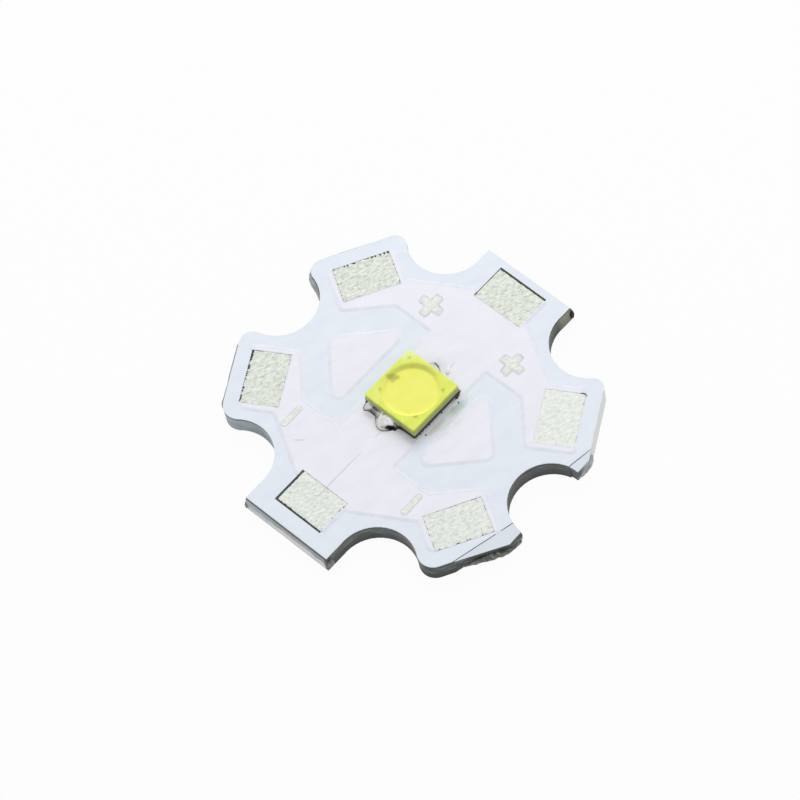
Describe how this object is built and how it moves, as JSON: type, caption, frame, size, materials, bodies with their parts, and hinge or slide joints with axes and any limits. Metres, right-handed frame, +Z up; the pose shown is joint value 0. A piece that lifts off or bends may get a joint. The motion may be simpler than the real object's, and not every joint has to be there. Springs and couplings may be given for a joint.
{
  "type": "star pcb power led",
  "caption": "Star-shaped aluminium-core circuit board with half-round screw notches, solder pads and a square ceramic power LED whose dished yellow coat holds a flat round lens.",
  "frame": {"origin": "centre of the flat underside of the board", "axes": "+Z up out of the board's lit face, +X towards the middle plus pad, +Y towards the left-hand end notch"},
  "size_m": [0.0195, 0.0196, 0.002],
  "materials": {
    "core": "satin, routed and snapped edges",
    "dielectric": "matt filled resin",
    "copper": "etched copper foil",
    "mask": "white satin solder mask",
    "tin": "rough hot-air-levelled tin",
    "solder": "bright reflowed solder",
    "contact": "gold flash",
    "ceramic": "fired ceramic under yellow phosphor",
    "die": "semiconductor",
    "phosphor": "yellow phosphor in silicone",
    "lens": "clear silicone over yellow phosphor"
  },
  "bodies": {
    "root": {"aluminium_core": "core", "dielectric_layer": "dielectric", "positive_trace": "copper", "negative_trace": "copper", "thermal_land": "copper", "upper_copper_island": "copper", "lower_copper_island": "copper", "solder_mask": "mask", "positive_pad_left": "tin", "positive_pad_centre": "tin", "positive_pad_right": "tin", "negative_pad_left": "tin", "negative_pad_centre": "tin", "negative_pad_right": "tin", "anode_solder": "solder", "cathode_solder": "solder", "thermal_solder": "solder", "anode_contact": "contact", "cathode_contact": "contact", "thermal_contact": "contact", "ceramic_substrate": "ceramic", "led_die": "die", "esd_diode": "die", "phosphor_layer": "phosphor", "silicone_lens": "lens"}
  },
  "joints": []
}
